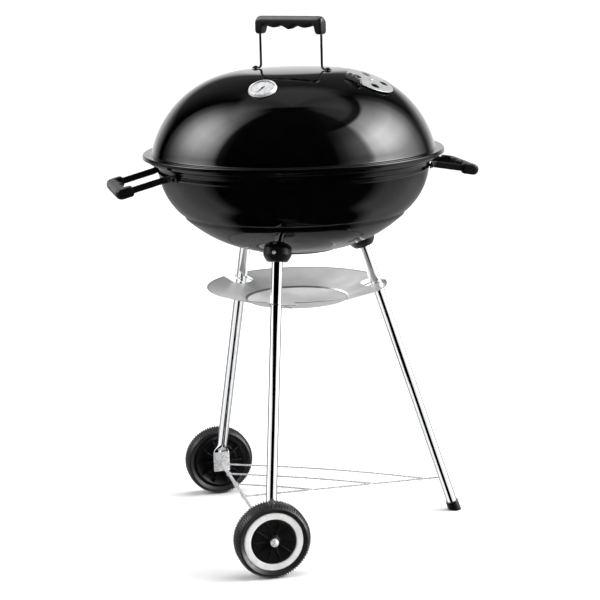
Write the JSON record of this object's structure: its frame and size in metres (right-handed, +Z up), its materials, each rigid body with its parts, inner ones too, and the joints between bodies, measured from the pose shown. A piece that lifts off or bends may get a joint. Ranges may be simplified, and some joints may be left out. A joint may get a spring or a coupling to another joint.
{
  "type": "kettle charcoal grill",
  "caption": "Round enamelled kettle grill on tube legs, with a lift-off domed lid, wheels, wire shelf, ash tray, side handles and turning vents.",
  "frame": {"origin": "on the ground, below the bowl's axis, at the centre of the bounding box's base", "axes": "+Z up along the bowl's axis; +X towards the leg with the foot cap and one side handle; the wheel axle runs along Y at negative X"},
  "size_m": [0.6977, 0.5768, 0.995],
  "materials": {
    "enamel": "gloss black vitreous enamel",
    "black_plastic": "moulded black heat-resistant plastic, soft sheen",
    "black_steel": "black coated steel",
    "chrome": "bright chrome plate",
    "zinc": "plated steel, satin",
    "aluminium": "satin sheet",
    "tyre": "dark grey-black with a ribbed tread",
    "white_plastic": "white trim ring",
    "dial": "pale satin dial",
    "needle": "black pointer",
    "lens": "clear"
  },
  "bodies": {
    "stand": {"axle_nut_left": "chrome", "axle_nut_right": "chrome", "axle_rod": "zinc", "bottom_damper_rivet": "zinc", "bowl_shell": "enamel", "foot_cap": "black_plastic", "leg_front": "chrome", "leg_left": "chrome", "leg_right": "chrome", "leg_socket_front": "black_plastic", "leg_socket_left": "black_plastic", "leg_socket_right": "black_plastic", "side_frame_back": "black_steel", "side_frame_front": "black_steel", "side_grip_back": "black_plastic", "side_grip_front": "black_plastic", "side_rivet_back_a": "zinc", "side_rivet_back_b": "zinc", "side_rivet_front_a": "zinc", "side_rivet_front_b": "zinc", "socket_bolt_front": "zinc", "socket_bolt_left": "zinc", "socket_bolt_right": "zinc", "socket_screw_front": "zinc", "socket_screw_left": "zinc", "socket_screw_right": "zinc", "tray_clip_front": "zinc", "tray_clip_left": "zinc", "tray_clip_right": "zinc", "wire_shelf": "chrome"},
    "lid": {"lid_shell": "enamel", "lid_handle_wire": "black_steel", "lid_handle_grip": "black_plastic", "lid_rivet_a": "zinc", "lid_rivet_b": "zinc", "thermometer_case": "chrome", "thermometer_dial": "dial", "thermometer_lens": "lens", "thermometer_nut": "zinc", "lid_vent_rivet": "zinc"},
    "bottom_damper": {"bottom_damper": "black_steel"},
    "thermometer_needle": {"thermometer_needle": "needle"},
    "lid_vent": {"lid_vent_disc": "zinc", "lid_vent_tab": "black_plastic"},
    "cooking_grate": {"cooking_grate": "chrome", "grate_handle_left": "chrome", "grate_handle_right": "chrome"},
    "charcoal_grate": {"charcoal_grate": "chrome"},
    "ash_tray": {"ash_tray": "aluminium"},
    "wheel_left": {"wheel_tyre_left": "tyre", "wheel_hub_left": "black_plastic", "wheel_ring_left": "white_plastic"},
    "wheel_right": {"wheel_tyre_right": "tyre", "wheel_hub_right": "black_plastic", "wheel_ring_right": "white_plastic"}
  },
  "joints": [
    {"name": "lid_lift", "type": "slide", "parent": "stand", "child": "lid", "axis": [0, 0, 1], "range_m": [0, 0.3]},
    {"name": "cooking_grate_lift", "type": "slide", "parent": "stand", "child": "cooking_grate", "axis": [0, 0, 1], "range_m": [0, 0.035]},
    {"name": "charcoal_grate_lift", "type": "slide", "parent": "stand", "child": "charcoal_grate", "axis": [0, 0, 1], "range_m": [0, 0.05]},
    {"name": "ash_tray_lift", "type": "slide", "parent": "stand", "child": "ash_tray", "axis": [0, 0, 1], "range_m": [0, 0.025]},
    {"name": "lid_vent_turn", "type": "hinge", "parent": "lid", "child": "lid_vent", "pos_m": [0.12475, -0.1032, 0.87676], "axis": [0.3235, -0.2676, 0.9076], "range_deg": [0, 45]},
    {"name": "bottom_damper_turn", "type": "hinge", "parent": "stand", "child": "bottom_damper", "pos_m": [0, 0, 0.5535], "axis": [0, 0, 1], "range_deg": [0, 60]},
    {"name": "wheel_left_spin", "type": "hinge", "parent": "stand", "child": "wheel_left", "pos_m": [-0.118, 0.24, 0.07], "axis": [0, 1, 0], "continuous": true},
    {"name": "wheel_right_spin", "type": "hinge", "parent": "stand", "child": "wheel_right", "pos_m": [-0.118, -0.24, 0.07], "axis": [0, 1, 0], "continuous": true},
    {"name": "thermometer_needle_turn", "type": "hinge", "parent": "lid", "child": "thermometer_needle", "pos_m": [-0.08653, -0.144, 0.87401], "axis": [0.2326, 0.3872, -0.8922], "range_deg": [0, 300]}
  ]
}
